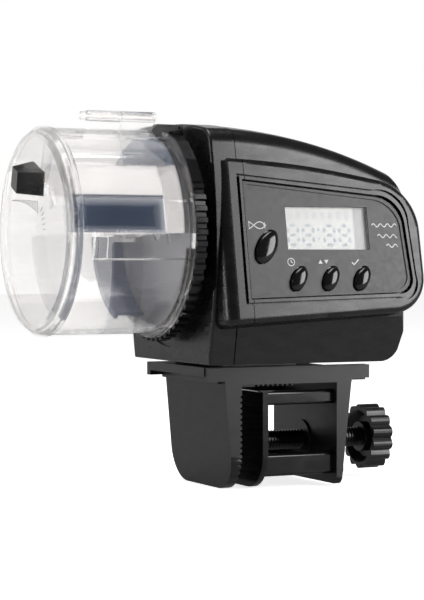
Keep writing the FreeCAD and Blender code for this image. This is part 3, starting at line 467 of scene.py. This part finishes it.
def lcd_ground():
    """Reflective liquid crystal: pale, with a darker strip at its right end and a bright border."""
    r = Recipe("lcd_ground", (0.5, 0.5, 0.5), 0.35)
    edge = WINDOW_HIGH.x - 4.6 * MM
    side = r.spread(r.axis(0), 0.0, 1.0, edge, edge + 0.8 * MM)
    left = r.spread(r.axis(0), 1.0, 0.0, WINDOW_LOW.x + 0.4 * MM, WINDOW_LOW.x + 0.9 * MM)
    grid = r.spread(r.noise(6000, 1), -0.02, 0.02)
    pale = r.blend(r.math("ADD", r.noise(300, 2), grid), (0.70, 0.71, 0.685), (0.79, 0.79, 0.765))
    r.colour(r.blend(left, r.blend(side, pale, (0.44, 0.435, 0.445)), (0.88, 0.88, 0.86)))
    return r.mat


def lcd_segment():
    """Figures that are switched off, a shade darker than the liquid crystal round them."""
    r = Recipe("lcd_segment", (0.40, 0.43, 0.47), 0.4)
    r.colour(r.blend(r.noise(1500, 1), (0.42, 0.46, 0.52), (0.52, 0.56, 0.62)))
    return r.mat


def window_pane():
    """Thin clear pane: almost nothing but a faint gloss."""
    r = Recipe("window_pane", (0.9, 0.9, 0.9), 0.04, IOR=1.45, Alpha=0.08)
    r.roughness(r.spread(r.noise(1200, 3), 0.03, 0.07))
    r.lets_lamps_through((0.97, 0.97, 0.97))
    return r.mat


def metal(name, colour, rough, lines=(1, 1, 1)):
    """Drawn or turned metal with fine tool lines."""
    r = Recipe(name, colour, rough, Metallic=1.0)
    tool = r.noise(1800, 3, lines)
    r.roughness(r.spread(tool, rough * 0.75, rough * 1.4))
    dark = tuple(c * 0.82 for c in colour)
    r.colour(r.blend(tool, dark, colour))
    r.bump(tool, 0.000008, 0.25)
    return r.mat


def acetal():
    """White gear plastic, slightly waxy."""
    r = Recipe("acetal", (0.80, 0.79, 0.74), 0.38, Subsurface_Weight=0.08)
    r.shader.inputs["Subsurface Radius"].default_value = (0.002, 0.002, 0.0015)
    r.colour(r.blend(r.noise(200, 2), (0.76, 0.75, 0.70), (0.84, 0.83, 0.79)))
    r.bump(r.noise(2500, 2), 0.00001, 0.2)
    return r.mat


def solder_mask():
    """Green circuit board with copper tracks under the mask."""
    r = Recipe("solder_mask", (0.01, 0.10, 0.04), 0.25)
    track = r.node("ShaderNodeTexBrick")
    track.inputs["Scale"].default_value = 260
    track.inputs["Mortar Size"].default_value = 0.03
    r.link(r.place, track.inputs["Vector"])
    r.colour(r.blend(track.outputs["Fac"], (0.008, 0.085, 0.03), (0.03, 0.17, 0.07)))
    r.bump(track.outputs["Fac"], 0.00003, 0.4)
    return r.mat


def cell_wrap():
    """A plain wrapped cell: dark body, a coloured band at one end and a bright rim."""
    r = Recipe("cell_wrap", (0.02, 0.05, 0.035), 0.22)
    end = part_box("battery_cells")[1].x
    band = r.spread(r.axis(0), 0.0, 1.0, end - 16.5 * MM, end - 16.3 * MM)
    rim = r.spread(r.axis(0), 0.0, 1.0, end - 2.2 * MM, end - 2.0 * MM)
    body = r.blend(r.noise(500, 2), (0.018, 0.045, 0.03), (0.028, 0.06, 0.042))
    r.colour(r.blend(rim, r.blend(band, body, (0.62, 0.42, 0.10)), (0.5, 0.5, 0.5)))
    r.bump(r.noise(900, 1), 0.00001, 0.15)
    return r.mat


def grey_plastic():
    """Plain grey plastic inside the housing."""
    r = Recipe("grey_plastic", (0.10, 0.10, 0.105), 0.45)
    r.colour(r.blend(r.noise(90, 3), (0.085, 0.085, 0.09), (0.12, 0.12, 0.125)))
    r.bump(r.noise(3000, 2), 0.00001, 0.3)
    return r.mat


# ---- helpers for pieces -------------------------------------------------------------------------
def piece(name, mesh, body, mat, smooth_angle=None):
    """Put a finished mesh in the scene on a body, with its material."""
    made = bpy.data.objects.new(name, mesh)
    bpy.context.scene.collection.objects.link(made)
    mesh.materials.clear()
    mesh.materials.append(mat)
    if smooth_angle is not None:
        mesh.polygons.foreach_set("use_smooth", [True] * len(mesh.polygons))
        mesh.set_sharp_from_angle(angle=math.radians(smooth_angle))
    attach(made, body)
    return made


class Shape:
    """Closed solids collected in one mesh; place turns its own coordinates into the part's frame."""

    def __init__(self, place=Matrix()):
        self.place, self.verts, self.faces = place, [], []

    def add(self, verts, faces):
        start = len(self.verts)
        self.verts += [self.place @ Vector(v) for v in verts]
        self.faces += [tuple(start + i for i in face) for face in faces]

    def plate(self, points, low, high):
        """A flat convex plate between two heights."""
        count = len(points)
        ring = [(x, y, h) for h in (low, high) for x, y in points]
        sides = [(i, (i + 1) % count, count + (i + 1) % count, count + i) for i in range(count)]
        self.add(ring, [tuple(reversed(range(count))), tuple(range(count, 2 * count))] + sides)

    def ribbon(self, points, width, low, high, closed=False):
        """A strip of even width along a path."""
        path = [Vector(p) for p in points]
        count = len(path)
        verts = []
        for i, here in enumerate(path):
            before = path[i - 1] if closed or i else here
            after = path[(i + 1) % count] if closed or i < count - 1 else here
            first, second = (here - before), (after - here)
            along = (first.normalized() + second.normalized()).normalized()
            side = Vector((-along.y, along.x))
            reach = width / 2
            if first.length and second.length:
                reach /= max(0.5, side.dot(Vector((-second.y, second.x)).normalized()))
            for sign, height in ((1, low), (-1, low), (-1, high), (1, high)):
                flat = here + side * reach * sign
                verts.append((flat.x, flat.y, height))
        faces = []
        for i in range(count if closed else count - 1):
            a, b = 4 * i, 4 * ((i + 1) % count)
            faces += [(a + k, a + (k + 1) % 4, b + (k + 1) % 4, b + k) for k in range(4)]
        if not closed:
            faces += [(3, 2, 1, 0), tuple(4 * (count - 1) + k for k in range(4))]
        self.add(verts, faces)

    def mesh(self, name):
        made = bpy.data.meshes.new(name)
        made.from_pydata(self.verts, [], self.faces)
        made.update()
        work = bmesh.new()
        work.from_mesh(made)
        bmesh.ops.recalc_face_normals(work, faces=work.faces)
        work.to_mesh(made)
        work.free()
        return made


def arc_points(centre_x, centre_y, radius, start, end, count):
    """Points on an arc; angles in degrees, 0 to the right and 90 up."""
    turn = [math.radians(start + (end - start) * i / (count - 1)) for i in range(count)]
    return [(centre_x + radius * math.cos(a), centre_y + radius * math.sin(a)) for a in turn]


def make_prints(ink):
    """Marks on the overlay: a fish over the feed button, three pictograms and waves by the display."""
    low, high, line = PRINT_LOW, PRINT_HIGH, PRINT_LINE
    prints = Shape(PANEL)
    spots = {name: panel_place(name + "_button") for name in ("feed", "mode", "adjust", "set")}

    def at(spot, points):
        return [(spot.x + x * MM, spot.y + y * MM) for x, y in points]

    feed = spots["feed"]
    back = [(-3.5 + 0.38 * i, 6.4 + 1.0 * math.sin(math.pi * i / 10)) for i in range(11)]
    belly = [(-3.5 + 0.38 * i, 6.4 - 1.0 * math.sin(math.pi * i / 10)) for i in range(10, -1, -1)]
    tail = [(-5.1, 7.5), (-5.1, 5.3)]
    prints.ribbon(at(feed, tail + back[:-1] + belly[:-1]), line, low, high, closed=True)
    prints.ribbon(at(feed, arc_points(1.1, 6.4, 1.3, 140, 220, 6)), line * 0.8, low, high)
    prints.plate(at(feed, arc_points(-0.35, 6.65, 0.15, 0, 324, 10)), low, high)

    clock = spots["mode"]
    prints.ribbon(at(clock, arc_points(-2.0, 5.0, 1.1, 0, 345, 24)), line * 0.8, low, high, closed=True)
    prints.ribbon(at(clock, [(-2.0, 5.75), (-2.0, 5.0), (-1.45, 4.75)]), line * 0.8, low, high)
    arrows = spots["adjust"]
    prints.plate(at(arrows, [(-3.6, 4.5), (-2.2, 4.5), (-2.9, 5.7)]), low, high)
    prints.plate(at(arrows, [(-1.7, 5.6), (-0.3, 5.6), (-1.0, 4.4)]), low, high)
    tick = spots["set"]
    prints.ribbon(at(tick, [(-2.9, 4.9), (-2.2, 4.2), (-0.6, 5.7)]), line * 1.2, low, high)

    edge = WINDOW_HIGH.x - PANEL_ORIGIN.x
    wave_end, wave_step = 9.7, 0.3
    for start, height in ((1.2, 0.9), (2.9, -2.3), (5.7, -5.2)):
        count = int((wave_end - start) / wave_step) + 1
        prints.ribbon([(edge + (start + wave_step * i) * MM, (height + 0.5 * math.sin(i * math.pi / 4)) * MM)
                       for i in range(count)], line, low, high)
    piece("panel_prints", prints.mesh("panel_prints"), "housing", ink)


SEGMENTS = (((-1, 2), (1, 2)), ((-1, 0), (1, 0)), ((-1, -2), (1, -2)),
            ((-1, 2), (-1, 0)), ((1, 2), (1, 0)), ((-1, 0), (-1, -2)), ((1, 0), (1, -2)))


def make_display(ink):
    """Faint seven-segment figures on the liquid crystal."""
    low, high = -0.69 * MM, -0.66 * MM
    figures = Shape(PANEL)

    def digit(x, y, width, height, stroke):
        for ends in SEGMENTS:
            (x0, y0), (x1, y1) = [(x + u * width / 2, y + v * height / 4) for u, v in ends]
            across, up = (x1 - x0), (y1 - y0)
            length = math.hypot(across, up)
            ux, uy = across / length, up / length
            gap, half = stroke * 0.62, stroke / 2
            corners = [(gap, 0), (gap + half, half), (length - gap - half, half),
                       (length - gap, 0), (length - gap - half, -half), (gap + half, -half)]
            figures.plate([(x0 + ux * a - uy * b, y0 + uy * a + ux * b) for a, b in corners], low, high)

    for x in (-10.9, -5.9, 1.1, 6.1):
        digit(x * MM, -1.9 * MM, 3.3 * MM, 5.7 * MM, 0.95 * MM)
    dot = ((0.0, 0.0), (0.7, 0.0), (0.7, 0.7), (0.0, 0.7))
    for y in (-3.2, -0.6):
        figures.plate([((-2.8 + u) * MM, (y + v) * MM) for u, v in dot], low, high)
    for i in range(8):
        digit((-11.4 + 2.65 * i) * MM, 3.9 * MM, 1.2 * MM, 2.0 * MM, 0.26 * MM)
    piece("display_figures", figures.mesh("display_figures"), "housing", ink)


def make_button(name, long_half, short_half, gloss):
    """A domed oval key with its collar and stem, in place of the plain one."""
    spot = panel_place(name)
    lean = math.radians(90 - OVAL_LEAN)
    steps, rings = 64, []
    stem, collar = 0.3, 1 + 0.6 * MM / long_half        # shares of the oval's half length
    profile = [(stem, -4.0), (stem, -1.6), (collar, -1.6), (collar, -0.7), (1.0, -0.7), (1.0, KEY_PROUD)]
    profile += [(math.cos(a) ** 0.8, KEY_PROUD + KEY_DOME * math.sin(a))
                for a in (math.radians(degrees) for degrees in range(8, 88, 8))]
    for share, height in profile:
        for i in range(steps):
            a = 2 * math.pi * i / steps
            u, v = long_half * share * math.cos(a), short_half * share * math.sin(a)
            rings.append((spot.x + u * math.cos(lean) - v * math.sin(lean),
                          spot.y + u * math.sin(lean) + v * math.cos(lean), height * MM))
    faces = [tuple(reversed(range(steps)))]
    for ring in range(len(profile) - 1):
        a, b = ring * steps, (ring + 1) * steps
        faces += [(a + i, a + (i + 1) % steps, b + (i + 1) % steps, b + i) for i in range(steps)]
    top = (len(profile) - 1) * steps
    rings.append((spot.x, spot.y, (KEY_PROUD + KEY_DOME) * MM))
    faces += [(top + i, top + (i + 1) % steps, len(rings) - 1) for i in range(steps)]
    key = Shape(PANEL)
    key.add(rings, faces)
    body = name.replace("_button", "_key")
    made = piece(name.replace("_button", "_dome"), key.mesh(name), body, gloss, 35)
    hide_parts(name)


def make_thread(black):
    """The clamp screw with a true helical thread."""
    y, z = SCREW_AXIS.y, SCREW_AXIS.z
    steps, last = THREAD_STEPS, THREAD_TURNS * THREAD_STEPS
    profile = ((0.0, THREAD_ROOT), (0.30, THREAD_CREST), (0.48, THREAD_CREST), (0.78, THREAD_ROOT))
    verts, faces = [], []
    for i in range(last + 1):
        a = 2 * math.pi * i / steps
        shift = THREAD_START + i / steps * THREAD_PITCH * MM
        verts += [(shift + x * MM, y + r * MM * math.sin(a), z + r * MM * math.cos(a)) for x, r in profile]
    count = len(profile)
    for i in range(last):
        here, after = i * count, (i + 1) * count
        faces += [(here + k, here + k + 1, after + k + 1, after + k) for k in range(count - 1)]
        if i + steps < last:
            above = (i + steps) * count
            faces.append((here + count - 1, above, above + count, after + count - 1))
    low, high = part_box("clamp_screw")
    thread = Shape()
    thread.add(verts, faces)
    sides = 48
    core, neck, tip = 2.60 * MM, 2.99 * MM, 3.84 * MM
    for x0, x1, radius in ((low.x, high.x, core), (low.x, THREAD_START + 0.4 * MM, neck),
                           (low.x + 0.5 * MM, low.x + 1.9 * MM, tip)):
        turn = [2 * math.pi * i / sides for i in range(sides)]
        ring = [(x, y + radius * math.sin(a), z + radius * math.cos(a)) for x in (x0, x1) for a in turn]
        walls = [(i, (i + 1) % sides, sides + (i + 1) % sides, sides + i) for i in range(sides)]
        thread.add(ring, [tuple(reversed(range(sides))), tuple(range(sides, 2 * sides))] + walls)
    made = piece("threaded_rod", thread.mesh("threaded_rod"), "screw", black, 30)
    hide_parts("clamp_screw")


def facing_front(x):
    """Axes for marks in a plane across the drum at x: right and up as seen from in front, and out."""
    return Matrix(((0, 0, -1, x), (-1, 0, 0, 0), (0, 1, 0, DRUM_AXIS.z), (0, 0, 0, 1)))


def make_drum_marks(mark, band):
    """Raised amount scale on the front cap, and the dark band on the divider."""
    scale = Shape(facing_front(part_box("drum_end_cap")[0].x))
    low, high, line = -0.02 * MM, 0.14 * MM, 0.17 * MM
    lower = [((-16.0 + 1.4 * i) * MM, (9.2 - 4.0 * (i / 15) ** 2.2) * MM) for i in range(16)]
    upper = [((-16.0 + 1.4 * i) * MM, (9.4 - 0.9 * (i / 15) ** 1.5) * MM) for i in range(16)]
    scale.ribbon(lower, line, low, high)
    scale.ribbon(upper, line, low, high)
    for ends in list(zip(lower, upper))[3:]:
        scale.ribbon(ends, line, low, high)
    for i in range(5):
        a = math.radians(38 - 9 * i)
        tick = [(r * MM * math.cos(a), r * MM * math.sin(a)) for r in (9.0, 11.2)]
        scale.ribbon(tick, line * 1.4, low, high)
    piece("amount_scale", scale.mesh("amount_scale"), "drum", mark)

    strip = Shape(facing_front(DRUM_AXIS.x + 33.0 * MM))
    left, right, bottom, top = SLATE_BAND
    strip.plate([(left, bottom), (right, bottom), (right, top), (left, top)], -0.02 * MM, 0.25 * MM)
    piece("divider_band", strip.mesh("divider_band"), "drum", band)


def soften_node(node, width, segments=2, angle=32):
    """Round a CAD node's edges a little for the eye, with modifiers only."""
    target = frame["nodes"][node]
    weld = target.modifiers.new("weld", "WELD")
    weld.merge_threshold = 0.001 * MM
    bevel = target.modifiers.new("edges", "BEVEL")
    bevel.width, bevel.segments = width, segments
    bevel.limit_method, bevel.angle_limit = "ANGLE", math.radians(angle)
    bevel.harden_normals = True
    bevel.use_clamp_overlap = True


def paint():
    """Every CAD node gets its finish; the ones that other pieces share are returned."""
    black = satin_black()
    coarse = satin_black("satin_black_coarse", 0.0075, 0.33, 1.6)
    gloss = gloss_black()
    clear = clear_styrene()
    steel = metal("turned_steel", (0.60, 0.60, 0.59), 0.28, (6, 1, 1))
    spring = metal("nickel_spring", (0.72, 0.70, 0.66), 0.22)
    can = metal("motor_can", (0.56, 0.56, 0.57), 0.32, (1, 1, 8))
    brass = metal("brass", (0.80, 0.60, 0.28), 0.28, (8, 1, 1))
    white = acetal()
    grey = grey_plastic()
    finish = {
        clear: ("drum_shell", "refill_door", "hinge_pin", "drum_end_cap", "shutter_arm"),
        shutter_smoke(): ("portion_shutter",),
        wall_smoke(): ("dosing_wall",),
        divider_milk(): ("chamber_divider",),
        base_ring_black(): ("drum_base_ring",),
        black: ("front_housing", "main_housing", "panel_bezel", "battery_cover", "slide_shoe", "portion_knob",
                "drum_catch"),
        coarse: ("clamp_bracket", "clamp_knob"),
        satin_black("jaw_black", 0.006, 0.16, 0.8): ("moving_jaw",),
        gloss: (*OVALS, "position_switch", "clamp_screw"),
        membrane(): ("panel_membrane",),
        window_pane(): ("display_window",),
        lcd_ground(): ("lcd_module",),
        solder_mask(): ("circuit_board",),
        cell_wrap(): ("battery_cells",),
        spring: ("battery_contacts",),
        grey: ("battery_tray", "gearbox_plates"),
        steel: ("drive_spindle", "idler_axle", "catch_pin", "housing_screws", "tact_switches"),
        can: ("gear_motor",),
        brass: ("spindle_bush", "motor_pinion"),
        white: ("spindle_gear", "idler_gear"),
    }
    for mat, nodes in finish.items():
        for node in nodes:
            for item in frame["nodes"][node].material_slots:
                item.material = mat
    return black, gloss


def main():
    make_camera()
    make_floor()
    make_lights()
    make_world()
    set_up_view()
    black, gloss = paint()
    for node in ("clamp_bracket", "moving_jaw", "clamp_knob", "portion_knob"):
        soften_node(node, 0.3 * MM)
    make_prints(print_white())
    make_display(lcd_segment())
    for name, (long_half, short_half) in OVALS.items():
        make_button(name, long_half * MM, short_half * MM, gloss)
    make_thread(black)
    make_drum_marks(frosted_mark(), tinted("band_blue", (0.035, 0.05, 0.10), (0.3, 0.33, 0.4), 0.1, 0.3))


main()
